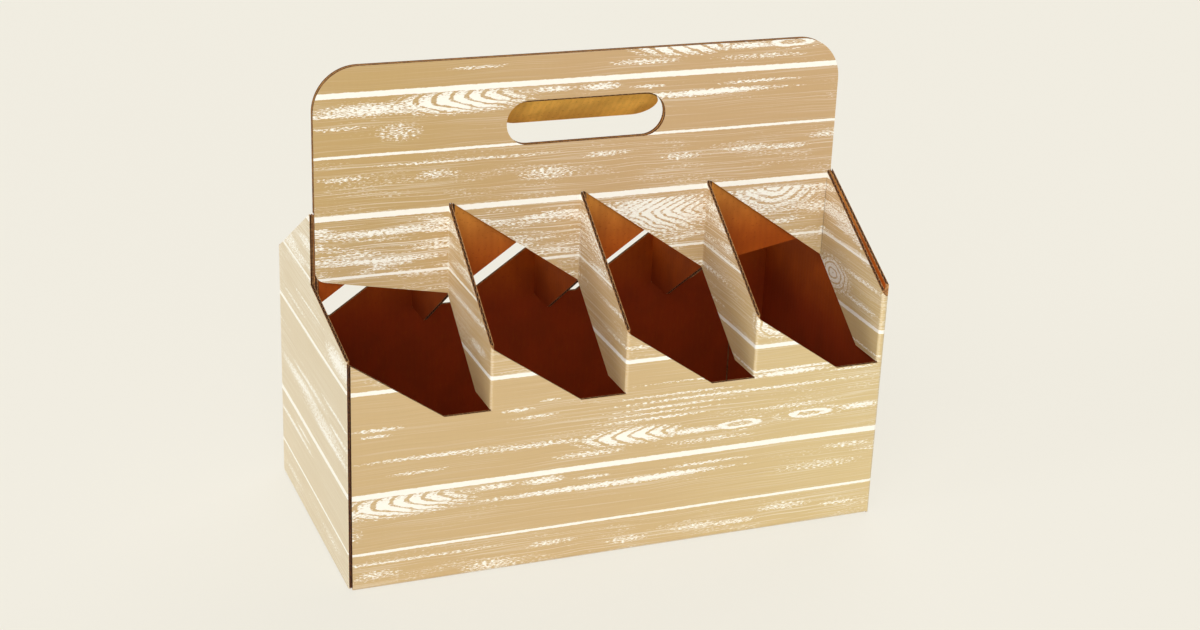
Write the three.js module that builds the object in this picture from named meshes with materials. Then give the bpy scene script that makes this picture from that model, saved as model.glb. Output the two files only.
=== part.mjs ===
// Drink carrier box for eight bottles, folded from two identical sheets of corrugated board.
// Millimetres, +Z up, +X along the carrier, -Y towards its front, origin at the bottom centre.
// The front half is modelled, and the rear half is the same half turned about the vertical.
import * as THREE from "three";

// Board
const board = 1.6; // thickness of the corrugated board
const gap = 0.3; // clearance between pieces that touch
const kerf = 0.6; // slit between two edges that one cut makes

// Plan
const cellPitch = 65.5; // one divider to the next
const cellsPerRow = 4;
const width = 133; // over the front and rear panels

// Heights above the ground
const footHeight = 81.5; // level run in a side panel's top edge
const shoulderHeight = 112; // top of each step in a side panel
const endShoulderHeight = 117.5; // front of the end strap
const cornerDip = 3; // fall of the narrow band beside the end strap
const cornerHeight = 120.5; // end panel at its crease
const peakHeight = 159; // end panel at the handle
const strapTop = 158.5; // straps at the handle
const freeEndHeight = 126.5; // lower edge of a handle ply at its free end
const handleTop = 227;

// Runs, rounds and fits along the edges
const footRun = 21.5; // length of the level run beside each strap
const handleRadius = 21;
const freeEndRadius = 5;
const nestClearance = 2; // notch in the end panel, below the free end of the handle
const roundSegments = 10;

// Hand hole and its flap
const slotLength = 79.5;
const slotHeight = 21.2;
const slotBottom = 184.3;
const flapTilt = THREE.MathUtils.degToRad(46); // flap pushed back from closed

// Glue flaps and bottom flaps
const glueFlapWidth = 18;
const glueFlapBase = 8; // lower end, above the bottom flaps
const glueFlapTaper = 6; // slant of its lower end
const endFlapDepth = 28; // reach of an end's bottom flap from its wall
const endFlapInset = 5; // its setback from each corner
const endFlapLongCut = 60; // slant on the side that turns in as the carrier folds
const endFlapShortCut = 24; // slant on the other side

const cellsLength = cellsPerRow * cellPitch;
const halfLength = (cellsLength + 2 * board + gap) / 2;
const halfWidth = width / 2;
const wallInside = halfWidth - board - gap; // reach of what butts against a side panel
const handleFace = gap / 2; // kraft face of each handle ply
const strapReach = halfWidth - handleFace;
const strapSlope = (strapTop - shoulderHeight) / strapReach;
const panelSlope = (shoulderHeight - footHeight) / (cellPitch - footRun);
const toothHeight = strapTop + kerf - strapSlope * (cellPitch - board - gap);
const slotTop = slotBottom + slotHeight;

const strapX = (index) => halfLength - 2 * board - gap - (cellsPerRow - index) * cellPitch;
const along = (from, to, share) => from + (to - from) * share;

const printedBoard = { color: 0xcdb083, roughness: 0.8, metalness: 0 };
const kraftBoard = { color: 0xb07a3c, roughness: 0.9, metalness: 0 };

function polygon(points) {
  return new THREE.Shape(points.map(([x, y]) => new THREE.Vector2(x, y)));
}

function cutBoard(shape) {
  const settings = { depth: board, bevelEnabled: false, curveSegments: roundSegments };
  return new THREE.ExtrudeGeometry(shape, settings);
}

// Boards cut in the XZ plane fill y from -board to 0.
const cutFacingFront = (shape) => cutBoard(shape).rotateX(Math.PI / 2);

// Boards cut in the YZ plane fill x from 0 to board.
const cutFacingEnd = (shape) => cutFacingFront(shape).rotateZ(Math.PI / 2);

function piece(name, geometry, finish, [x, y, z] = [0, 0, 0]) {
  const mesh = new THREE.Mesh(geometry, new THREE.MeshStandardMaterial(finish));
  mesh.name = name;
  mesh.position.set(x, y, z);
  return mesh;
}

// The top edge steps down to the left of each strap, from the right end to the left.
function sidePanelShape() {
  const points = [
    [-halfLength, 0],
    [halfLength, 0],
    [halfLength, endShoulderHeight - cornerDip],
    [strapX(cellsPerRow), endShoulderHeight],
  ];
  for (let index = cellsPerRow; index > 0; index -= 1) {
    points.push([strapX(index), footHeight]);
    points.push([strapX(index) - footRun, footHeight]);
    points.push([strapX(index - 1), shoulderHeight]);
  }
  return polygon(points);
}

function strapShape(shoulder) {
  const front = -wallInside;
  const rear = -handleFace;
  const rise = strapTop - shoulder;
  const foot = footHeight + kerf;
  return polygon([
    [front, foot],
    [-halfWidth + footRun, foot],
    [rear, toothHeight],
    [rear, strapTop],
    [front, shoulder + rise * (halfWidth - wallInside) / strapReach],
  ]);
}

function roundEndedSlot(path, clearance) {
  const radius = slotHeight / 2 - clearance;
  const middle = slotBottom + slotHeight / 2;
  const centre = slotLength / 2 - slotHeight / 2;
  path.absarc(centre, middle, radius, -Math.PI / 2, Math.PI / 2, false);
  path.absarc(-centre, middle, radius, Math.PI / 2, 3 * Math.PI / 2, false);
  path.closePath();
  return path;
}

// The lower edge is a row of teeth, each ending at the crease of a strap. Both plies cover each other.
function handlePlyShape() {
  const creasedEnd = strapX(cellsPerRow) + board;
  const freeEnd = -creasedEnd;
  const lineHeight = strapTop + kerf;
  const firstTooth = strapX(1) - gap;
  const roundShare = freeEndRadius / (firstTooth - freeEnd);
  const shape = new THREE.Shape();
  shape.moveTo(freeEnd + freeEndRadius, along(freeEndHeight, toothHeight, roundShare));
  for (let index = 1; index <= cellsPerRow; index += 1) {
    shape.lineTo(strapX(index) - gap, toothHeight);
    shape.lineTo(strapX(index) - gap, lineHeight);
    shape.lineTo(strapX(index) + board, lineHeight);
  }
  const roundCentre = handleTop - handleRadius;
  shape.absarc(creasedEnd - handleRadius, roundCentre, handleRadius, 0, Math.PI / 2, false);
  shape.absarc(freeEnd + handleRadius, roundCentre, handleRadius, Math.PI / 2, Math.PI, false);
  shape.lineTo(freeEnd, freeEndHeight + freeEndRadius);
  shape.quadraticCurveTo(
    freeEnd,
    freeEndHeight,
    freeEnd + freeEndRadius,
    along(freeEndHeight, toothHeight, roundShare),
  );
  shape.holes.push(roundEndedSlot(new THREE.Path(), 0));
  return shape;
}

// The end panel climbs to the handle, drops below its free end there and falls to the far corner.
function endPanelShape() {
  const base = board + gap;
  const climb = (peakHeight - cornerHeight) / strapReach;
  return polygon([
    [-wallInside, base],
    [wallInside, base],
    [wallInside, shoulderHeight],
    [-handleFace, freeEndHeight - nestClearance],
    [-handleFace, peakHeight],
    [-wallInside, cornerHeight + climb * (halfWidth - wallInside)],
  ]);
}

// The upper end follows the slope of the side panel that it is glued to.
function glueFlapShape() {
  const crease = halfLength - board - gap;
  const free = crease - glueFlapWidth;
  const underPanelEdge = (x) => shoulderHeight - gap - panelSlope * (halfLength - x);
  return polygon([
    [crease, glueFlapBase],
    [crease, underPanelEdge(crease)],
    [free, underPanelEdge(free)],
    [free, glueFlapBase + glueFlapTaper],
  ]);
}

function sideBottomFlapShape() {
  return polygon([
    [-halfLength, -wallInside],
    [halfLength, -wallInside],
    [halfLength, -handleFace],
    [-halfLength, -handleFace],
  ]);
}

function endBottomFlapShape() {
  const crease = halfLength - board - gap;
  const free = halfLength - endFlapDepth;
  const corner = wallInside - endFlapInset;
  return polygon([
    [crease, -corner],
    [crease, corner],
    [free, corner - endFlapShortCut],
    [free, -corner + endFlapLongCut],
  ]);
}

// One folded sheet: its side panel stands at the front and its end panel on the right.
function halfCarrier(side, end) {
  const half = new THREE.Group();
  const sidePanel = cutFacingFront(sidePanelShape());
  half.add(piece(`${side}_panel`, sidePanel, printedBoard, [0, board - halfWidth, 0]));
  for (let index = 1; index < cellsPerRow; index += 1) {
    const divider = cutFacingEnd(strapShape(shoulderHeight));
    half.add(piece(`${side}_divider_${index}`, divider, printedBoard, [strapX(index), 0, 0]));
  }
  const endStrap = cutFacingEnd(strapShape(endShoulderHeight));
  half.add(piece(`${side}_end_strap`, endStrap, printedBoard, [strapX(cellsPerRow), 0, 0]));
  const handlePly = cutFacingFront(handlePlyShape());
  half.add(piece(`${side}_handle_ply`, handlePly, printedBoard, [0, -handleFace, 0]));
  const endPanel = cutFacingEnd(endPanelShape());
  half.add(piece(`${end}_end_panel`, endPanel, printedBoard, [halfLength - board, 0, 0]));
  const glueFlap = cutFacingFront(glueFlapShape());
  half.add(piece(`${end}_glue_flap`, glueFlap, kraftBoard, [0, wallInside, 0]));
  half.add(piece(`${side}_bottom_flap`, cutBoard(sideBottomFlapShape()), printedBoard));
  half.add(piece(`${end}_bottom_flap`, cutBoard(endBottomFlapShape()), printedBoard, [0, 0, board + gap]));
  return half;
}

// The flap is cut from the rear ply and turns on the top edge of the hand hole.
function handFlap() {
  const hinge = new THREE.Group();
  hinge.position.set(0, handleFace + board, slotTop);
  hinge.rotation.x = flapTilt;
  const outline = roundEndedSlot(new THREE.Shape(), gap);
  hinge.add(piece("hand_flap", cutFacingFront(outline), kraftBoard, [0, 0, -slotTop]));
  return hinge;
}

const carrier = new THREE.Group();
const rearHalf = halfCarrier("rear", "left");
rearHalf.rotation.z = Math.PI;
carrier.add(halfCarrier("front", "right"), rearHalf, handFlap());

export default carrier;
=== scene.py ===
import math
import bpy
from mathutils import Matrix, Vector


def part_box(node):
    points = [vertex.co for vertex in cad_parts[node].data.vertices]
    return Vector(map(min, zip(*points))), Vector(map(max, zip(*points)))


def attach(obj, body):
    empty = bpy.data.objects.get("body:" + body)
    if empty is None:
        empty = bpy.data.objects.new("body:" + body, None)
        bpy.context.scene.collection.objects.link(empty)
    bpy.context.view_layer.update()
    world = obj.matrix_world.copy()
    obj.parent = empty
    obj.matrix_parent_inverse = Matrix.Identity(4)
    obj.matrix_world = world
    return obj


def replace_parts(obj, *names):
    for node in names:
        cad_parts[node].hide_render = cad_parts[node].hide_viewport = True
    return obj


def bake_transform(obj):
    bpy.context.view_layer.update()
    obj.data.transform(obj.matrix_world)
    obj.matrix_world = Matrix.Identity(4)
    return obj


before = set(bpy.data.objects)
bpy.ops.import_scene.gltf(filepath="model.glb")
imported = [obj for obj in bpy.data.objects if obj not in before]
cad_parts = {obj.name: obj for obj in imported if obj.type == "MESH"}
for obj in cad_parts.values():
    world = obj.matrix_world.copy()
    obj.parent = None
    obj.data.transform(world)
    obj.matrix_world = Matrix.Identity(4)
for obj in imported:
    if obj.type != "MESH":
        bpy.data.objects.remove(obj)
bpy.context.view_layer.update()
scene = bpy.context.scene
scene.view_settings.view_transform = "Standard"
mm = 0.001
print("frame loaded,", len(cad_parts), "nodes")

# Everything below is in millimetres until a mesh is made.
board = {
    "liner": 0.24,  # outer and inner paper
    "medium": 0.2,  # wavy paper between them
    "flutePitch": 3.2,
    "samplesPerFlute": 8,
    "glueLine": 0.015,  # keeps the papers from sharing a face
    "foldSteps": 6,  # facets of half a fold
    "sharpFrom": 35,  # degrees between faces that are shaded as an edge
    "rawSlant": 1.25,  # crushed raw end of a side panel
    "endLip": 0.3,  # lower edge of an end panel, outside the ends of the side bottom flaps
    "flapSetback": 2.2,  # ends of the side bottom flaps, behind the end panels
    "flapGap": 0.2,  # between an end panel and its bottom flap, which swings clear of the lip
    "pressed": 0.14,  # how far the straps fill the gap to the strap behind them
}
fit = {
    "facing": 0.99,  # cosine of the faces that make up the printed side
    "line": 0.01,  # corners this near to a line are on it
    "inside": 0.01,  # how far inside an end its levels are read
    "span": 0.005,  # how far an edge may miss the ends of a strip
    "strip": 0.004,  # width that a strip must have
    "run": 0.001,  # edges that run less than this stand upright
}


def boxOf(node):
    low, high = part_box(node)
    return low / mm, high / mm


panelLow, panelHigh = boxOf("front_panel")
thick = panelHigh.y - panelLow.y
halfLength, halfWidth = panelHigh.x, -panelLow.y
kraftFace = -boxOf("front_handle_ply")[1].y  # kraft side of a handle ply, from the middle
endBase = boxOf("right_end_panel")[0].z
glueFace = boxOf("right_glue_flap")[1].y
strapNames = ["divider_1", "divider_2", "divider_3", "end_strap"]
strapLeft = [boxOf("front_" + name)[0].x for name in strapNames]
panelShift = halfWidth - kraftFace + thick  # the side panel's move as the sheet is laid flat
cornerRun = halfLength + panelShift  # the end panel's crease on the flat sheet


class Ink:
    # a socket that takes part in sums, and makes any other node
    def __init__(self, tree, socket=None):
        self.tree = tree
        self.socket = socket

    def node(self, kind, settings=None, inputs=None, output=0):
        made = self.tree.nodes.new(kind)
        for name, value in (settings or {}).items():
            if name == "stops":
                setStops(made.color_ramp, *value)
            else:
                setattr(made, name, value)
        for name, value in (inputs or {}).items():
            if isinstance(value, Ink):
                self.tree.links.new(value.socket, made.inputs[name])
            else:
                made.inputs[name].default_value = value
        return Ink(self.tree, made.outputs[output])

    def maths(self, operation, *values):
        return self.node("ShaderNodeMath", {"operation": operation}, dict(enumerate(values)))

    def __add__(self, other):
        return self.maths("ADD", self, other)

    def __radd__(self, other):
        return self.maths("ADD", other, self)

    def __sub__(self, other):
        return self.maths("SUBTRACT", self, other)

    def __rsub__(self, other):
        return self.maths("SUBTRACT", other, self)

    def __mul__(self, other):
        return self.maths("MULTIPLY", self, other)

    def __rmul__(self, other):
        return self.maths("MULTIPLY", other, self)

    def __truediv__(self, other):
        return self.maths("DIVIDE", self, other)

    def __rtruediv__(self, other):
        return self.maths("DIVIDE", other, self)


def setStops(colourRamp, stops, interpolation):
    colourRamp.interpolation = interpolation
    elements = colourRamp.elements
    while len(elements) < len(stops):
        elements.new(1.0)
    for element, (place, shade) in zip(elements, stops):
        element.position = place
        element.color = (shade, shade, shade, 1)


def ramp(value, low, high):
    settings = {"interpolation_type": "SMOOTHSTEP"}
    ends = {"Value": value, "From Min": low, "From Max": high}
    return value.node("ShaderNodeMapRange", settings, ends)


def blendColours(share, first, second):
    return share.node("ShaderNodeMix", {"data_type": "RGBA"}, {0: share, 6: first, 7: second}, 2)


def grain(u, v, length, height, seed, detail=2.0, distortion=0.0):
    corner = {"X": u / length + seed, "Y": v / height + seed * 1.7}
    place = u.node("ShaderNodeCombineXYZ", None, corner)
    values = {"Vector": place, "Scale": 1.0, "Detail": detail, "Distortion": distortion}
    return u.node("ShaderNodeTexNoise", {"noise_dimensions": "2D"}, values)


def fluteWave(u):
    return u.maths("SINE", u * (2 * math.pi / board["flutePitch"]))


def bumped(height, strength, distance):
    values = {"Strength": strength, "Distance": distance, "Height": height}
    return height.node("ShaderNodeBump", None, values)


def srgb(red, green, blue):
    shades = [c / 255 for c in (red, green, blue)]
    linear = [c / 12.92 if c < 0.04045 else ((c + 0.055) / 1.055) ** 2.4 for c in shades]
    return (*linear, 1.0)


def startMaterial(name, axes="XY"):
    # the place on the flat sheet comes with it, and for the third axis how worn the paper is
    material = bpy.data.materials.new(name)
    material.use_nodes = True
    tree = material.node_tree
    ink = Ink(tree)
    attribute = ink.node("ShaderNodeAttribute", {"attribute_name": "sheet"}, None, "Vector")
    places = [ink.node("ShaderNodeSeparateXYZ", None, {"Vector": attribute}, axis) for axis in axes]
    return material, tree.nodes["Principled BSDF"], *places


def feed(shader, **sockets):
    names = {"colour": "Base Color", "roughness": "Roughness", "normal": "Normal"}
    for name, value in sockets.items():
        value.tree.links.new(value.socket, shader.inputs[names[name]])


plankPrint = {
    "tan": srgb(207, 177, 128),
    # painted shade: darker, pinker tans up the sheet
    "paintedShadeUpperTan": srgb(195, 162, 105),
    "paintedShadeUpperFarTan": srgb(200, 165, 118),
    # painted light: a lighter, yellower tan to the right, low on the sheet
    "paintedLightFarTan": srgb(214, 190, 138),
    # painted sheen: the end panels paler, as a grazing sheen off the coated print makes them
    "paintedSheenEndTan": srgb(220, 204, 172),
    "deepTan": srgb(182, 147, 100),
    "white": srgb(255, 251, 239),
    # places on the sheet between which one tan passes into the next: the lighter tan to the right
    # is painted light, the darker tans up the sheet are painted shade, and the pale tan of the end
    # panels is a painted sheen
    "paintedLightFarRun": (40, 190),
    "paintedShadeUpperFarRun": (-110, 20),
    "paintedShadeUpperRise": (100, 165),
    # the painted sheen starts at the end panel's crease
    "endRun": (cornerRun - 2, cornerRun + 2),
    # the print repeats up the sheet, and each repeat is slipped along it
    "start": -14.5,
    "period": 167,
    "slip": 21,
    # joints between planks: height in the repeat, width
    "joints": [(-11, 2.2), (18, 1.45), (46.5, 2.5), (97, 2.5), (126.5, 1.4)],
    "jointWaver": 0.5,
    # each plank's grain is moved on by one of these steps
    "plankSteps": 8,
    "plankMove": 800,
    # share of loose white grain by height in the repeat
    "looseGrain": [
        (-14, 0.7), (-10.5, 0.44), (0, 0.52), (14, 0.47), (17, 0.24), (24, 0.16), (32, 0.3),
        (44, 0.3), (49, 0.24), (55, 0.34), (66, 0.42), (78, 0.42), (83, 0.28), (87, 0.1),
        (95, 0.2), (99, 0.5), (112, 0.46), (124, 0.52), (128, 0.94), (152, 1.0),
    ],
    # planks that start plain on the left, and the run over which their grain sets in
    "plainStart": [(47, 0.0), (49, 0.75), (96, 0.75), (98, 0.0)],
    "plainRun": (-30, 60),
    # brushed white: along, height, half length, half height, strength
    "brushed": [
        (-40, 12.6, 48, 0.8, 0.72), (-96, 7.5, 14, 1.6, 0.5), (-52, 6.7, 12, 2.2, 0.55),
        (2, 3, 16, 4, 0.52), (31, 9.8, 14, 1.6, 0.55), (71, 5.7, 12, 2, 0.5),
        (105, 7.4, 16, 1.8, 0.66), (126, 6.5, 14, 1.6, 0.6), (152, 11, 16, 2.2, 0.55),
        (182, 8.5, 12, 1.5, 0.55), (225, 8, 20, 2, 0.42), (300, 10, 20, 1.6, 0.45),
        (-84, 39, 30, 3.8, 0.85), (-98, 37.2, 26, 1.2, 0.8), (60, 36.6, 74, 1.6, 0.95),
        (86, 36.9, 32, 1.7, 1.25), (110, 40.6, 24, 0.9, 0.8), (4, 43.2, 12, 1.6, 0.8),
        (27, 43, 12, 2, 0.85), (52, 41.5, 10, 1, 0.7), (-100, 31, 18, 1.1, 0.55),
        (-70, 28, 12, 4.5, 0.4), (185, 40, 16, 1.6, 0.5), (170, 31, 24, 2.5, 0.34),
        (228, 36.5, 42, 1.5, 1), (246, 40.4, 18, 1, 0.85), (102, 58.4, 17, 1.7, 1),
        (190, 60, 14, 1.8, 0.95), (80, 67.3, 32, 0.8, 0.8), (84, 70, 34, 0.7, 0.65),
        (92, 72.6, 40, 0.7, 0.7), (125, 75.6, 76, 0.8, 0.85), (95, 78.4, 36, 0.7, 0.7),
        (150, 82.4, 24, 1.5, 1.15), (186, 80.5, 14, 0.8, 0.7), (-52, 79, 14, 1.1, 0.72),
        (-52, 75.8, 9, 0.9, 0.72), (14, 80.5, 9, 0.9, 0.9), (23, 76.3, 12, 0.8, 0.7),
        (30, 83.4, 6, 0.6, 0.7), (-24, 63.2, 40, 1.1, 0.72), (20, 61.5, 36, 1.5, 0.6),
        (-32, 56, 16, 0.9, 0.6), (50, 53.6, 20, 1.6, 0.62), (110, 53, 26, 1.4, 0.45),
        (155, 65, 26, 1.4, 0.5), (245, 66, 46, 3.4, 0.85), (300, 60, 40, 2.2, 1),
        (312, 77.5, 30, 1.2, 0.9), (262, 72, 40, 1.5, 0.8), (318, 69, 22, 1.4, 0.9),
        (318, 106, 26, 6, 1.0), (150, 84.6, 80, 0.8, 0.9), (285, 63, 46, 5, 0.6),
        (262, 112, 34, 0.8, 0.8), (232, 104, 26, 1.2, 0.6), (-30, 118, 50, 1.7, 0.72),
        (64, 117, 40, 1.8, 0.7), (66, 104, 34, 1.2, 0.55), (-18, 105, 14, 3, 0.62),
        (176, 104, 22, 1.4, 0.75), (176, 116, 26, 1.5, 0.7), (-100, 134, 40, 1.8, 0.9),
        (-100, 148, 44, 2, 0.85), (150, 140, 34, 3, 0.8),
    ],
    # white with grain lines: shape, along, height, half length, half height, strength,
    # line spacing, bend
    "figures": [
        ("bow", -41, 40.4, 38, 6.6, 1.35, 8.2, 0.4), ("tip", 70, 60, 30, 5, 1.3, 8.5, 3.2),
        ("ring", 126, 58.8, 19, 3.2, 1.35, 2.5, 6), ("ring", 163, 59.6, 21, 3.4, 1.35, 2.5, 6),
        ("tip", 38, 145, 34, 15, 1.15, 5.6, 2.3), ("eye", 100, 153.5, 34, 17, 1.1, 3.1, 1.7),
        ("eye", 146, 109.5, 22, 9.5, 1.15, 2.5, 1.7),
    ],
    "bowLean": 0.06,
    "tipRound": 1.5,
    "lineEdge": (0.16, 0.42),
    "lineDepth": 1.15,
    "ringMiddle": (0.9, 1.4),
    # noise: length along the planks, height, seed, detail
    "sway": (60, 24, 3.1, 2.0),
    "ragged": (2.6, 0.9, 9.4, 3.0),
    "speck": (2.1, 0.36, 21.3, 3.0),
    "streak": (34, 0.8, 5.7, 3.0),
    "patch": (34, 5.5, 13.9, 2.0),
    "wander": (14, 4.5, 31.7, 2.0),
    "hair": (80, 0.42, 41.2, 2.0),
    "vein": (60, 0.7, 53.9, 3.0),
    "tooth": (0.9, 0.9, 61.1, 3.0),
    # values between which a noise or a sum of them turns into ink
    "speckEdge": (0.3, 0.7),
    "patchEdge": (0.36, 0.68),
    "looseEdge": (-0.04, 0.26),
    "looseFull": (0.5, 0.8),
    "brushEdge": (-0.05, 0.24),
    "hairEdge": (0.56, 0.68),
    "veinEdge": (0.5, 0.7),
    "rubbedEdge": (0.55, 1.1),
    # how much of each goes in
    "flowSway": 3.0,
    "loosePatch": 0.9,
    "looseStreak": 1.8,
    "looseLimit": 1.2,
    "looseLeast": 0.5,
    "speckShare": 1.05,
    "brushStreak": 0.5,
    "brushLeast": 0.3,
    "brushLimit": 0.95,
    "brushRagged": (3.0, 0.7),
    "brushSway": 1.6,
    "figureWander": (5.0, 1.8),
    "hairShare": 0.65,
    "hairLeast": 0.03,
    "veinShare": 0.13,
    "rubbedSpeck": 0.7,
    "rubbedShare": 0.16,
    "roughness": 0.42,
    "roughnessSpread": 0.05,
    "fluteRelief": 0.5,
    "toothRelief": 0.5,
    "bumpStrength": 0.1,
    "bumpDistance": 0.0002,
}


def lens(place, along, height, halfRun, halfRise, strength):
    # strength in the middle of an oval, falling through zero at its rim
    offset = {0: place, 1: (along, height, 0)}
    away = place.node("ShaderNodeVectorMath", {"operation": "SUBTRACT"}, offset)
    scale = {0: away, 1: (1 / halfRun, 1 / halfRise, 0)}
    away = place.node("ShaderNodeVectorMath", {"operation": "MULTIPLY"}, scale)
    pair = {0: away, 1: away}
    square = place.node("ShaderNodeVectorMath", {"operation": "DOT_PRODUCT"}, pair, "Value")
    return place.maths("MULTIPLY_ADD", square, -strength, strength)


def grainLines(x, y, shape, along, height, halfRun, spacing, bend):
    # 1 on the lines of one figure: bows and tips open to the right, eyes and rings are closed
    p = plankPrint
    if shape in ("eye", "ring"):
        run = (x - along) / bend
        rise = y - height
        across = x.maths("SQRT", run * run + rise * rise)
    elif shape == "bow":
        run = x - (along - halfRun)
        rise = y - height - run * p["bowLean"]
        across = run - rise * rise * bend
    else:
        run = x - (along - halfRun)
        rise = y - height
        across = run - x.maths("SQRT", rise * rise + p["tipRound"]) * bend
    wave = x.maths("PINGPONG", across / spacing, 0.5) * 2
    lines = 1 - ramp(wave, *p["lineEdge"])
    if shape != "ring":
        return lines
    return x.maths("MAXIMUM", lines, 1 - ramp(across, *p["ringMiddle"]))


def byHeight(y, stops, interpolation="LINEAR"):
    p = plankPrint
    stops = [((height - p["start"]) / p["period"], value) for height, value in stops]
    share = {"Fac": (y - p["start"]) / p["period"]}
    return y.node("ShaderNodeValToRGB", {"stops": (stops, interpolation)}, share)


def printMaterial():
    p = plankPrint
    material, shader, u, v, wear = startMaterial("plankPrint", "XYZ")
    repeat = u.maths("FLOOR", (v - p["start"]) / p["period"])
    x = u + repeat * p["slip"]
    y = v - repeat * p["period"]
    sway = grain(x, y, *p["sway"]) - 0.5
    ragged = grain(x, y, *p["ragged"]) - 0.5
    stops = [(p["start"], 0.0)]
    planks = [(p["start"], 0.0)]
    for number, (height, wide) in enumerate(p["joints"]):
        stops += [(height - wide / 2, 1.0), (height + wide / 2, 0.0)]
        planks.append((height, (number + 1) / p["plankSteps"]))
    wavering = y + sway * p["jointWaver"] + ragged * p["jointWaver"]
    joints = byHeight(wavering, stops, "CONSTANT")
    run = x + byHeight(y, planks, "CONSTANT") * p["plankMove"]

    # Loose white grain
    flow = y + sway * p["flowSway"]
    speck = ramp(grain(run, y, *p["speck"]), *p["speckEdge"])
    streak = grain(run, flow, *p["streak"]) - 0.5
    patch = ramp(grain(run, y, *p["patch"]), *p["patchEdge"])
    plain = byHeight(y, p["plainStart"]) * (1 - ramp(x, *p["plainRun"]))
    share = byHeight(y, p["looseGrain"]) * (1 - plain)
    loose = share * (patch * p["loosePatch"] + streak * p["looseStreak"])
    loose = ramp(loose + speck * p["speckShare"] - p["looseLimit"], *p["looseEdge"])
    loose = loose * (p["looseLeast"] + ramp(share, *p["looseFull"]) * (1 - p["looseLeast"]))

    # Brushed white and figures
    raggedRun, raggedRise = p["brushRagged"]
    frayed = {"X": x + ragged * raggedRun, "Y": y + sway * p["brushSway"] + ragged * raggedRise}
    place = u.node("ShaderNodeCombineXYZ", None, frayed)
    cover = streak * p["brushStreak"] - p["brushLeast"]
    for oval in p["brushed"]:
        cover = u.maths("MAXIMUM", cover, lens(place, *oval) + streak * p["brushStreak"])
    wander = grain(x, y, *p["wander"]) - 0.5
    wanderRun, wanderRise = p["figureWander"]
    bentX, bentY = x + wander * wanderRun, y + wander * wanderRise
    for shape, along, height, halfRun, halfRise, strength, spacing, bend in p["figures"]:
        lines = grainLines(bentX, bentY, shape, along, height, halfRun, spacing, bend)
        figure = lens(place, along, height, halfRun, halfRise, strength) - lines * p["lineDepth"]
        cover = u.maths("MAXIMUM", cover, figure)
    brushed = ramp(cover + speck * p["speckShare"] - p["brushLimit"], *p["brushEdge"])

    # White over tan
    hair = ramp(grain(run, flow, *p["hair"]), *p["hairEdge"])
    hair = hair * (share * p["hairShare"] + p["hairLeast"])
    white = u.maths("MAXIMUM", u.maths("MAXIMUM", brushed, loose), u.maths("MAXIMUM", joints, hair))
    # painted light to the right and painted shade up the sheet, mixed into the tan
    tan = blendColours(ramp(u, *p["paintedLightFarRun"]), p["tan"], p["paintedLightFarTan"])
    paintedShadeUpperTan = blendColours(ramp(u, *p["paintedShadeUpperFarRun"]), p["paintedShadeUpperTan"], p["paintedShadeUpperFarTan"])
    tan = blendColours(ramp(v, *p["paintedShadeUpperRise"]), tan, paintedShadeUpperTan)
    # painted sheen over the end panels
    tan = blendColours(ramp(u, *p["endRun"]), tan, p["paintedSheenEndTan"])
    vein = ramp(grain(run, flow, *p["vein"]), *p["veinEdge"])
    tan = blendColours(vein * p["veinShare"], tan, p["deepTan"])
    ink = blendColours(white, tan, p["white"])
    rubbed = ramp(wear + (speck - 0.5) * p["rubbedSpeck"], *p["rubbedEdge"])
    feed(shader, colour=blendColours(rubbed * p["rubbedShare"], ink, p["white"]))
    spread = p["roughnessSpread"]
    feed(shader, roughness=p["roughness"] - white * spread + speck * spread)
    relief = fluteWave(u) * p["fluteRelief"] + grain(u, v, *p["tooth"]) * p["toothRelief"]
    feed(shader, normal=bumped(relief, p["bumpStrength"], p["bumpDistance"]))
    return material


kraftPaper = {
    # the deep and low browns are painted shade inside the cells, the high colour is painted light
    # on the hand flap
    "paintedShadeDeep": srgb(140, 46, 1),
    "low": srgb(174, 78, 4),
    "high": srgb(250, 192, 88),
    "dark": srgb(106, 36, 2),
    "fleck": srgb(206, 136, 54),
    # heights on the sheet between which the paper lightens, from painted shade low in the cells to
    # painted light on the hand flap
    "paintedShadeRise": (74, 107),
    "rise": (121, 198),
    # noise: length along the sheet, height, seed, detail, distortion
    "cloud": (16, 22, 2.3, 4.0),
    "fibre": (0.7, 4.5, 7.9, 3.0, 0.6),
    "spot": (1.6, 1.2, 15.3, 2.0),
    "cloudEdge": (0.3, 0.7),
    "fibreEdge": (0.56, 0.7),
    "spotEdge": (0.64, 0.74),
    # how much of each goes in
    "darkLeast": 0.05,
    "cloudShare": 0.3,
    "fluteShare": 0.03,
    "fibreLow": 0.04,
    "fibreHigh": 0.18,
    "spotShare": 0.3,
    "specular": 0.2,
    "roughness": 0.78,
    "roughnessSpread": 0.1,
    "fluteRelief": 0.6,
    "fibreRelief": 0.5,
    "bumpStrength": 0.1,
    "bumpDistance": 0.0002,
}


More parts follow.
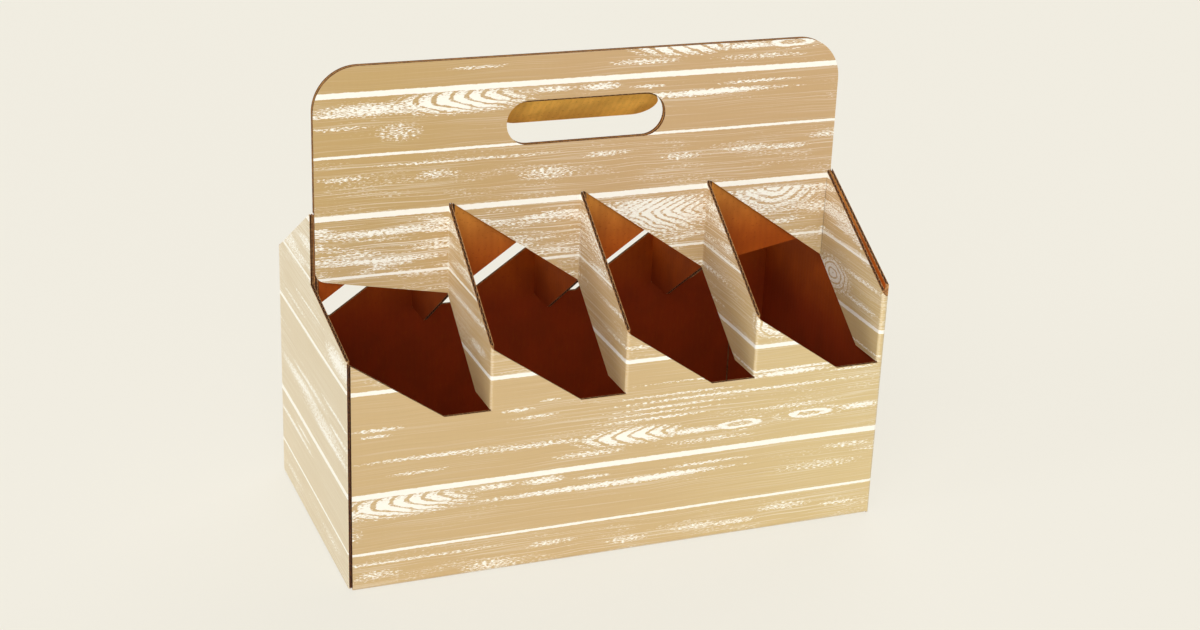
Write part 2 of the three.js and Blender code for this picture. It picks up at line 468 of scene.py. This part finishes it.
def kraftMaterial():
    p = kraftPaper
    material, shader, u, v = startMaterial("kraftPaper")
    cloud = ramp(grain(u, v, *p["cloud"]), *p["cloudEdge"])
    fibre = ramp(grain(u, v, *p["fibre"]), *p["fibreEdge"])
    spot = ramp(grain(u, v, *p["spot"]), *p["spotEdge"])
    flute = fluteWave(u)
    # painted shade low on the sheet, deep in the cells, and painted light high on it, on the hand
    # flap
    paintedLightShare = ramp(v, *p["rise"])
    body = blendColours(ramp(v, *p["paintedShadeRise"]), p["paintedShadeDeep"], p["low"])
    body = blendColours(paintedLightShare, body, p["high"])
    shade = cloud * p["cloudShare"] + flute * p["fluteShare"] + p["darkLeast"]
    colour = blendColours(shade, body, p["dark"])
    light = fibre * paintedLightShare * p["fibreHigh"] + fibre * p["fibreLow"]
    colour = blendColours(light, colour, p["fleck"])
    colour = blendColours(spot * p["spotShare"], colour, p["dark"])
    shader.inputs["Specular IOR Level"].default_value = p["specular"]
    feed(shader, colour=colour, roughness=p["roughness"] + fibre * p["roughnessSpread"])
    relief = flute * p["fluteRelief"] + fibre * p["fibreRelief"]
    feed(shader, normal=bumped(relief, p["bumpStrength"], p["bumpDistance"]))
    return material


cutEdge = {
    "pale": srgb(194, 144, 88),
    "dark": srgb(138, 90, 48),
}
# painted shade: the board's inner faces and flute walls are dark, for the shade inside the flutes
paintedShadeCore = {
    "pale": srgb(92, 46, 16),
    "dark": srgb(48, 20, 6),
}
rawPaper = {
    "fibre": (0.5, 1.3, 4.1, 4.0),
    "fibreEdge": (0.35, 0.65),
    "roughness": 0.85,
    "roughnessSpread": 0.1,
    "bumpStrength": 0.4,
    "bumpDistance": 0.0001,
}


def edgeMaterial(name, shades):
    p = rawPaper
    material, shader, u, v = startMaterial(name)
    fibre = ramp(grain(u, v, *p["fibre"]), *p["fibreEdge"])
    feed(shader, colour=blendColours(fibre, shades["dark"], shades["pale"]))
    feed(shader, roughness=p["roughness"] + fibre * p["roughnessSpread"])
    feed(shader, normal=bumped(fibre, p["bumpStrength"], p["bumpDistance"]))
    return material


finishes = [
    printMaterial(),
    kraftMaterial(),
    edgeMaterial("cutEdge", cutEdge),
    edgeMaterial("paintedShadeCore", paintedShadeCore),
]
printSide, kraftSide, cutSide, paintedShadeCoreSide = range(4)
print("finishes ready")


class Sheet:
    # faces of one piece of board, gathered before its mesh is made
    def __init__(self):
        self.points, self.places, self.faces, self.sides = [], [], [], []

    def add(self, point, place):
        self.points.append(Vector(point))
        self.places.append(place)
        return len(self.points) - 1

    def face(self, corners, side):
        self.faces.append(corners)
        self.sides.append(side)

    def make(self, name, slot):
        mesh = bpy.data.meshes.new(name)
        mesh.from_pydata([tuple(p * mm) for p in self.points], [], self.faces)
        mesh.polygons.foreach_set("material_index", self.sides)
        stored = mesh.attributes.new("sheet", "FLOAT_VECTOR", "POINT")
        stored.data.foreach_set("vector", [c for place in self.places for c in place])
        for finish in finishes:
            mesh.materials.append(finish)
        mesh.shade_smooth()
        mesh.set_sharp_from_angle(angle=math.radians(board["sharpFrom"]))
        made = bpy.data.objects.new(name, mesh)
        scene.collection.objects.link(made)
        return made

    def dress(self, node, body, slot="printed_board"):
        made = self.make(node + "_board", slot)
        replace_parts(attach(made, body), node)


class Blank:
    # the outline of a CAD board on its printed face, with its own directions
    def __init__(self, node, normal, across, up):
        self.normal, self.across, self.up = normal, across, up
        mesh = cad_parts[node].data
        rims = set()
        for face in mesh.polygons:
            if face.normal.dot(normal) < fit["facing"]:
                continue
            corners = [mesh.vertices[k].co / mm for k in face.vertices]
            self.height = corners[0].dot(normal)
            corners = [(round(c.dot(across), 3), round(c.dot(up), 3)) for c in corners]
            for start, end in zip(corners, corners[1:] + corners[:1]):
                if (end, start) in rims:
                    rims.remove((end, start))
                else:
                    rims.add((start, end))
        following = dict(sorted(rims))
        self.loops = []
        while following:
            start = next(iter(following))
            corner = following.pop(start)
            loop = [start]
            while corner != start:
                loop.append(corner)
                corner = following.pop(corner)
            self.loops.append(loop)

    def ends(self, axis=0):
        values = [corner[axis] for loop in self.loops for corner in loop]
        return min(values), max(values)

    def moveEnd(self, line, to, axis=0):
        # slides the corners of one straight end along the edges that meet it
        for loop in self.loops:
            moved = list(loop)
            for k, corner in enumerate(loop):
                if abs(corner[axis] - line) > fit["line"]:
                    continue
                beside = [loop[k - 1], loop[(k + 1) % len(loop)]]
                beside = [c for c in beside if abs(c[axis] - line) > fit["line"]]
                other = corner[1 - axis]
                if beside:
                    share = (to - corner[axis]) / (beside[0][axis] - corner[axis])
                    other += share * (beside[0][1 - axis] - other)
                moved[k] = (to, other) if axis == 0 else (other, to)
            loop[:] = moved

    def edges(self):
        # the edges that aren't upright, each from its left end
        pairs = [pair for loop in self.loops for pair in zip(loop, loop[1:] + loop[:1])]
        return [tuple(sorted(pair)) for pair in pairs if abs(pair[0][0] - pair[1][0]) > fit["run"]]

    def spans(self, start, end):
        # lower and upper levels of the board at both ends of a strip
        found = []
        for low, high in self.edges():
            if low[0] > start + fit["span"] or high[0] < end - fit["span"]:
                continue
            rise = (high[1] - low[1]) / (high[0] - low[0])
            held = [min(max(a, low[0]), high[0]) for a in (start, end)]
            levels = [low[1] + rise * (a - low[0]) for a in held]
            found.append((sum(levels), *levels))
        found.sort()
        pairs = zip(found[::2], found[1::2])
        return [(lower[1], upper[1], lower[2], upper[2]) for lower, upper in pairs]

    def levelsAt(self, along):
        return self.spans(along, along)[0][:2]

    def columns(self, extra=()):
        # cuts the outline into upright strips that share their corners
        stops = sorted({corner[0] for loop in self.loops for corner in loop})
        first, last = stops[0], stops[-1]
        stops = sorted(stops + [a for a in extra if first < a < last])
        stops = [a for k, a in enumerate(stops) if k == 0 or a - stops[k - 1] > fit["strip"]]
        cells, marks = [], {a: set() for a in stops}
        for start, end in zip(stops, stops[1:]):
            for span in self.spans(start, end):
                levels = [round(b, 4) for b in span]
                cells.append((start, end, *levels))
                marks[start].update(levels[:2])
                marks[end].update(levels[2:])
        strips = []
        for start, end, low0, high0, low1, high1 in cells:
            left = [(start, b) for b in sorted(marks[start]) if low0 <= b <= high0]
            right = [(end, b) for b in sorted(marks[end]) if low1 <= b <= high1]
            strips.append([left[0]] + right + left[:0:-1])
        return strips

    def trimmed(self, by, extra=()):
        # strips of the outline with its first end cut back
        whole = [list(loop) for loop in self.loops]
        end = self.ends()[0]
        self.moveEnd(end, end + by)
        strips = self.columns(extra)
        self.loops = whole
        return strips

    def place(self, a, b, depth):
        return self.across * a + self.up * b + self.normal * (self.height - depth)

    def addPaper(self, sheet, strips, near, far, toSheet, nearSide, farSide):
        # one paper of the board, from its near depth to its far depth
        numbers, rims = {}, {}
        for corner in {c for strip in strips for c in strip}:
            spot = (*toSheet(*corner), 0.0)
            points = [self.place(*corner, depth(corner[0])) for depth in (near, far)]
            numbers[corner] = [sheet.add(point, spot) for point in points]
        for strip in strips:
            sheet.face([numbers[c][0] for c in strip], nearSide)
            sheet.face([numbers[c][1] for c in reversed(strip)], farSide)
            for start, end in zip(strip, strip[1:] + strip[:1]):
                if (end, start) in rims:
                    del rims[(end, start)]
                else:
                    rims[(start, end)] = True
        for start, end in rims:
            (startNear, startFar), (endNear, endFar) = numbers[start], numbers[end]
            sheet.face([startNear, startFar, endFar, endNear], cutSide)

    def addBoard(self, sheet, toSheet, slant=0.0, pressed=0.0):
        # printed liner, kraft liner and wavy medium
        # a slant is how far the printed liner stops short at its first end, the medium half as far
        liner, medium, glue = board["liner"], board["medium"], board["glueLine"]
        middle = thick / 2
        swing = middle - liner - medium / 2 - glue
        wave = 2 * math.pi / board["flutePitch"]
        step = board["flutePitch"] / board["samplesPerFlute"]
        low, high = self.ends()
        stations = [low + step * k for k in range(1, int((high - low) / step) + 1)]

        def flute(a):
            return middle - medium / 2 + swing * math.sin(wave * toSheet(a, 0)[0])

        def fluteBack(a):
            return flute(a) + medium

        def flat(depth):
            return lambda a: depth

        # the faces inside each board take the painted shade of the core
        papers = [
            (self.trimmed(slant), flat(0.0), flat(liner), printSide, paintedShadeCoreSide),
            (self.trimmed(0.0), flat(thick - liner), flat(thick + pressed), paintedShadeCoreSide, kraftSide),
            (self.trimmed(slant / 2, stations), flute, fluteBack, paintedShadeCoreSide, paintedShadeCoreSide),
        ]
        for strips, near, far, nearSide, farSide in papers:
            self.addPaper(sheet, strips, near, far, toSheet, nearSide, farSide)


def addFold(sheet, centre, axis, outs, shares, span, toSheet):
    # part of a rounded fold about its inner corner: share 0 is at the first board, 1 at the second
    steps = board["foldSteps"]
    handed = outs[0].cross(outs[1]).dot(axis) > 0
    rows = []
    for k in range(steps + 1):
        share = shares[0] + (shares[1] - shares[0]) * k / steps
        angle = share * math.pi / 2
        out = (outs[0] * math.cos(angle) + outs[1] * math.sin(angle)) * thick
        worn = math.sin(2 * angle)
        row = []
        for end in span(share):
            row.append(sheet.add(centre + out + axis * end, (*toSheet(share, end), worn)))
        rows.append(row)
    middle = sum(shares) / 2
    hub = [sheet.add(centre + axis * end, (*toSheet(middle, end), 0.0)) for end in span(middle)]

    def put(corners, side):
        sheet.face(corners if handed else corners[::-1], side)

    for (low0, high0), (low1, high1) in zip(rows, rows[1:]):
        put([low0, low1, high1, high0], printSide)
        put([hub[1], high0, high1], cutSide)
        put([hub[0], low1, low0], cutSide)
    put([hub[0], rows[0][0], rows[0][1], hub[1]], cutSide)
    put([hub[0], hub[1], rows[-1][1], rows[-1][0]], cutSide)


def lerp(first, second, share):
    return first + (second - first) * share


creaseSkin = {
    "reach": 2.4,  # printed paper kept whole on each side of a handle crease
    "turn": 0.7,  # part of it that bends
    "paper": 0.05,  # its outer and inner face, above the boards
    "under": 0.02,
    "inset": 0.05,  # from the upper and lower edge of the boards
    "behind": 0.1,  # from the crease to where the ply's edges are read
    "round": 0.5,
    "steps": 6,
    "wear": 0.8,
}


def makeCrease(side, name, x, ply, strap, spot):
    # printed paper that stays whole across one handle crease
    c = creaseSkin
    skin = Sheet()
    plyFace = kraftFace + thick
    runs = [-c["reach"], -lerp(c["reach"], c["round"], 0.5)]
    runs += [-c["round"] + 2 * c["round"] * k / c["steps"] for k in range(c["steps"] + 1)]
    runs += [-runs[1], c["reach"]]
    rows = []
    for run in runs:
        if run <= 0:
            low, high = ply.levelsAt(x + min(run, -c["behind"]))
            high = min(high, strap.levelsAt(plyFace)[1])
        else:
            low, high = strap.levelsAt(plyFace + run)
        angle = (min(max(run / c["round"], -1), 1) + 1) * math.pi / 4
        bend = Vector((
            -c["round"] + c["round"] * math.sin(angle),
            -c["round"] + c["round"] * math.cos(angle),
            0,
        ))
        px = x + bend.x + min(run + c["round"], 0)
        py = -plyFace + bend.y - max(run - c["round"], 0)
        out = Vector((-math.sin(angle), -math.cos(angle), 0))
        worn = 1 - min(abs(run) / c["round"], 1)
        along = x + run + (thick if run > 0 else 0)
        row = []
        for lift in (c["paper"], c["under"]):
            for z in (low + c["inset"], high - c["inset"]):
                at = spot(px + out.x * lift, py + out.y * lift, z)
                row.append(skin.add(at, (along, z, worn * c["wear"])))
        rows.append(row)
    for (a0, a1, a2, a3), (b0, b1, b2, b3) in zip(rows, rows[1:]):
        skin.face([a0, b0, b1, a1], printSide)
        skin.face([a2, a3, b3, b2], cutSide)
        skin.face([a1, b1, b3, a3], cutSide)
        skin.face([a0, a2, b2, b0], cutSide)
    for (a0, a1, a2, a3), flip in ((rows[0], 1), (rows[-1], -1)):
        skin.face([a0, a1, a3, a2][::flip], cutSide)
    made = skin.make(f"{side}_{name}_crease", "printed_board")
    start, stop = spot(x - c["turn"], -plyFace, 0), spot(x, -plyFace - c["turn"], 0)
    tuple(start * mm)
    tuple(stop * mm)
    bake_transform(made)


def buildHalf(side, end, otherSide, turn):
    def spot(x, y, z):
        return Vector((x * turn, y * turn, z))

    left, right, front, back, down, up = [
        spot(*d) for d in ((-1, 0, 0), (1, 0, 0), (0, -1, 0), (0, 1, 0), (0, 0, -1), (0, 0, 1))
    ]
    innerFront = halfWidth - thick
    innerEnd = halfLength - thick
    first, second = (0, 0.5), (0.5, 1)  # the halves of a fold
    inside = fit["inside"]

    # The Run functions give a piece's places on the flat sheet.
    def sideRun(a, b):
        return a + panelShift, b

    def endRun(a, b):
        return cornerRun + a + halfWidth, b

    # Side panel, with half of each fold it shares
    panel = Blank(side + "_panel", front, right, up)
    onCut = [b for loop in panel.loops for a, b in loop if abs(a - strapLeft[0]) < fit["line"]]
    foot = min(onCut)
    for x in strapLeft:
        panel.moveEnd(x, x + thick)
    panel.moveEnd(halfLength, innerEnd)
    panel.moveEnd(0.0, thick, 1)
    panelSheet = Sheet()
    panel.addBoard(panelSheet, sideRun, board["rawSlant"])

    # Straps
    straps = []
    for name, x in zip(strapNames, strapLeft):
        strap = Blank(f"{side}_{name}", left, front, up)
        strap.moveEnd(strap.ends()[1], innerFront)
        strap.moveEnd(strap.ends()[0], kraftFace - board["pressed"])
        strapSheet = Sheet()

        def strapRun(a, b, x=x):
            return x + thick + a - kraftFace, b

        strap.addBoard(strapSheet, strapRun, 0.0, board["pressed"])
        panelTop = panel.levelsAt(x + thick + inside)[1]
        strapFoot, strapTop = strap.levelsAt(innerFront - inside)

        def foldRun(share, height, x=x):
            return lerp(x + thick + panelShift, x + halfWidth - kraftFace, share), height

        def foldSpan(share, low, panelTop=panelTop, strapTop=strapTop):
            return low, lerp(panelTop, strapTop, share)

        corner = spot(x + thick, -innerFront, 0)
        outs = (front, left)
        addFold(panelSheet, corner, up, outs, first, lambda s: foldSpan(s, foot), foldRun)
        addFold(strapSheet, corner, up, outs, second, lambda s: foldSpan(s, strapFoot), foldRun)
        strapSheet.dress(f"{side}_{name}", f"{side}_{name}")
        straps.append((name, x, strap))

    # Handle ply, creased to the straps
    ply = Blank(side + "_handle_ply", front, right, up)
    for x in strapLeft:
        edge = max(a for loop in ply.loops for a, b in loop if a < x + fit["line"])
        ply.moveEnd(edge, x - board["glueLine"])
    plySheet = Sheet()
    ply.addBoard(plySheet, lambda a, b: (a, b))
    plySheet.dress(side + "_handle_ply", "handle")
    for name, x, strap in straps:
        makeCrease(side, name, x, ply, strap, spot)

    # End panel, its corner fold and glue flap
    endPanel = Blank(end + "_end_panel", right, back, up)
    endPanel.moveEnd(endPanel.ends()[0], -innerFront)
    endPanel.moveEnd(glueFace, glueFace - thick)
    endPanel.moveEnd(endBase, board["endLip"], 1)
    endSheet = Sheet()
    endPanel.addBoard(endSheet, endRun)

    def cornerFoldRun(share, height):
        return lerp(innerEnd + panelShift, cornerRun + thick, share), height

    corner = Sheet()
    panelSpan = (board["endLip"], panel.levelsAt(innerEnd - inside)[1])
    endSpan = (board["endLip"], endPanel.levelsAt(-innerFront + inside)[1])
    centre = spot(innerEnd, -innerFront, 0)
    outs = (front, right)
    addFold(corner, centre, up, outs, first, lambda s: panelSpan, cornerFoldRun)
    addFold(corner, centre, up, outs, second, lambda s: endSpan, cornerFoldRun)
    made = corner.make(f"{end}_corner_fold", "printed_board")
    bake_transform(made)

    glue = Blank(end + "_glue_flap", back, left, up)
    glue.moveEnd(glue.ends()[0], -innerEnd)
    glueSheet = Sheet()
    glueStart = cornerRun + halfWidth + glueFace

    def glueRun(a, b):
        return glueStart + a + halfLength, b

    glue.addBoard(glueSheet, glueRun)

    def glueFoldRun(share, height):
        return lerp(glueStart - thick, glueStart + thick, share), height

    centre = spot(innerEnd, glueFace - thick, 0)
    farSpan = endPanel.levelsAt(glueFace - thick - inside)
    glueSpan = glue.levelsAt(-innerEnd + inside)
    outs = (right, back)
    addFold(endSheet, centre, up, outs, first, lambda s: farSpan, glueFoldRun)
    addFold(glueSheet, centre, up, outs, second, lambda s: glueSpan, glueFoldRun)
    glueSheet.dress(end + "_glue_flap", otherSide + "_panel", "kraft_board")

    # Bottom flaps, and the fold at the side panel's lower edge
    def bottomRun(a, b):
        return a + panelShift, b - halfWidth

    bottom = Blank(side + "_bottom_flap", down, right, front)
    bottom.moveEnd(bottom.ends(1)[1], innerFront, 1)
    flapEnd = halfLength - board["flapSetback"]
    bottom.moveEnd(-halfLength, -flapEnd)
    bottom.moveEnd(halfLength, flapEnd)
    bottomSheet = Sheet()
    bottom.addBoard(bottomSheet, bottomRun)

    def bottomFoldRun(share, along):
        return along + panelShift, lerp(thick, -thick, share)

    centre = spot(0, -innerFront, thick)
    baseSpan, flapSpan = (board["rawSlant"] - halfLength, innerEnd), (-flapEnd, flapEnd)
    outs = (front, down)
    addFold(panelSheet, centre, right, outs, first, lambda s: baseSpan, bottomFoldRun)
    addFold(bottomSheet, centre, right, outs, second, lambda s: flapSpan, bottomFoldRun)
    bottomSheet.dress(side + "_bottom_flap", side + "_bottom_flap")
    panelSheet.dress(side + "_panel", side + "_panel")

    def endBottomRun(a, b):
        return cornerRun + a + halfWidth, b - halfLength + endBase

    endBottom = Blank(end + "_bottom_flap", down, back, right)
    endBottom.moveEnd(endBottom.ends(1)[1], innerEnd - board["flapGap"], 1)
    endBottomSheet = Sheet()
    endBottom.addBoard(endBottomSheet, endBottomRun)
    endBottomSheet.dress(end + "_bottom_flap", end + "_bottom_flap")
    endSheet.dress(end + "_end_panel", end + "_end_panel")


buildHalf("front", "right", "rear", 1)
buildHalf("rear", "left", "front", -1)
print("boards folded")

flapFace = max(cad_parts["hand_flap"].data.polygons, key=lambda f: f.area * f.normal.y)
flapNormal = flapFace.normal.normalized()
flapAcross = Vector((-1, 0, 0))
flap = Blank("hand_flap", flapNormal, flapAcross, flapNormal.cross(flapAcross))
flapTop = flap.ends(1)[1]
holeTop = boxOf("hand_flap")[1].z
flapSheet = Sheet()
flap.addBoard(flapSheet, lambda a, b: (a, holeTop + b - flapTop))
flapSheet.dress("hand_flap", "hand_flap", "kraft_board")
print("hand flap made")

view = {
    "azimuth": -21.984,
    "elevation": 21.782,
    "roll": 2.218,
    "distance": 994.55,
    "target": (11.016, 0.0, 93.845),
    "focal": 2032.48,  # pixels on a frame of this width
    "frameWidth": 1200,
    "sensor": 36,
    "clipEnd": 100,  # metres
}
camera = bpy.data.objects.new("photoCamera", bpy.data.cameras.new("photoCamera"))
scene.collection.objects.link(camera)
camera.data.sensor_width = view["sensor"]
camera.data.lens = view["focal"] / view["frameWidth"] * camera.data.sensor_width
camera.data.clip_end = view["clipEnd"]
azimuth, elevation, roll = [math.radians(view[k]) for k in ("azimuth", "elevation", "roll")]
towards = Vector((
    math.sin(azimuth) * math.cos(elevation),
    -math.cos(azimuth) * math.cos(elevation),
    math.sin(elevation),
))
level = Vector((math.cos(azimuth), math.sin(azimuth), 0))
upright = towards.cross(level)
sideways = level * math.cos(roll) + upright * math.sin(roll)
upwards = upright * math.cos(roll) - level * math.sin(roll)
camera.matrix_world = Matrix((sideways, upwards, towards)).transposed().to_4x4()
camera.location = (Vector(view["target"]) + towards * view["distance"]) * mm
scene.camera = camera

studio = {
    "paper": srgb(241, 237, 225),
    "skyStrength": 0.35,
    "glow": srgb(244, 240, 228),
    "floorGlow": 0.8,
    "floorReach": 12.0,  # metres
    "floorLevel": -0.0003,
    "lamps": {  # direction to the lamp, strength, softness in degrees
        "keyLamp": ((-0.45, -0.75, 0.6), 1.5, 50),
        "frontLamp": ((0.1, -1.0, 0.05), 0.74, 30),
        "endLamp": ((-1.0, -0.12, 0.22), 0.84, 20),
        "backLamp": ((0.55, 0.8, 0.45), 1.3, 50),
    },
}
for name, (direction, strength, softness) in studio["lamps"].items():
    lamp = bpy.data.lights.new(name, "SUN")
    lamp.energy, lamp.angle = strength, math.radians(softness)
    held = bpy.data.objects.new(name, lamp)
    held.rotation_euler = Vector(direction).to_track_quat("Z", "Y").to_euler()
    scene.collection.objects.link(held)


def seenDirectly(ink):
    rays = ["Is Camera Ray", "Is Glossy Ray", "Is Transmission Ray"]
    seen = [ink.node("ShaderNodeLightPath", None, None, ray) for ray in rays]
    return ink.maths("MAXIMUM", ink.maths("MAXIMUM", seen[0], seen[1]), seen[2])


world = bpy.data.worlds.new("studioSky")
scene.world = world
world.use_nodes = True
tree = world.node_tree
sky = Ink(tree)
dim = {"Color": (1, 1, 1, 1), "Strength": studio["skyStrength"]}
plain = sky.node("ShaderNodeBackground", None, dim)
paper = sky.node("ShaderNodeBackground", None, {"Color": studio["paper"], "Strength": 1.0})
mixed = sky.node("ShaderNodeMixShader", None, {0: seenDirectly(sky), 1: plain, 2: paper})
tree.links.new(mixed.socket, tree.nodes["World Output"].inputs["Surface"])

floorMesh = bpy.data.meshes.new("studioFloor")
reach, under = studio["floorReach"], studio["floorLevel"]
corners = [(x * reach, y * reach, under) for x, y in ((-1, -1), (1, -1), (1, 1), (-1, 1))]
floorMesh.from_pydata(corners, [], [(0, 1, 2, 3)])
floor = bpy.data.objects.new("studioFloor", floorMesh)
scene.collection.objects.link(floor)
floorPaper = bpy.data.materials.new("studioPaper")
floorPaper.use_nodes = True
tree = floorPaper.node_tree
ink = Ink(tree)
matt = ink.node("ShaderNodeBsdfDiffuse", None, {"Color": studio["paper"]})
glow = ink.node("ShaderNodeEmission", None, {"Color": studio["glow"], "Strength": 1.0})
share = seenDirectly(ink) * studio["floorGlow"]
mixed = ink.node("ShaderNodeMixShader", None, {0: share, 1: matt, 2: glow})
tree.links.new(mixed.socket, tree.nodes["Material Output"].inputs["Surface"])
floorMesh.materials.append(floorPaper)
print("camera and light set")
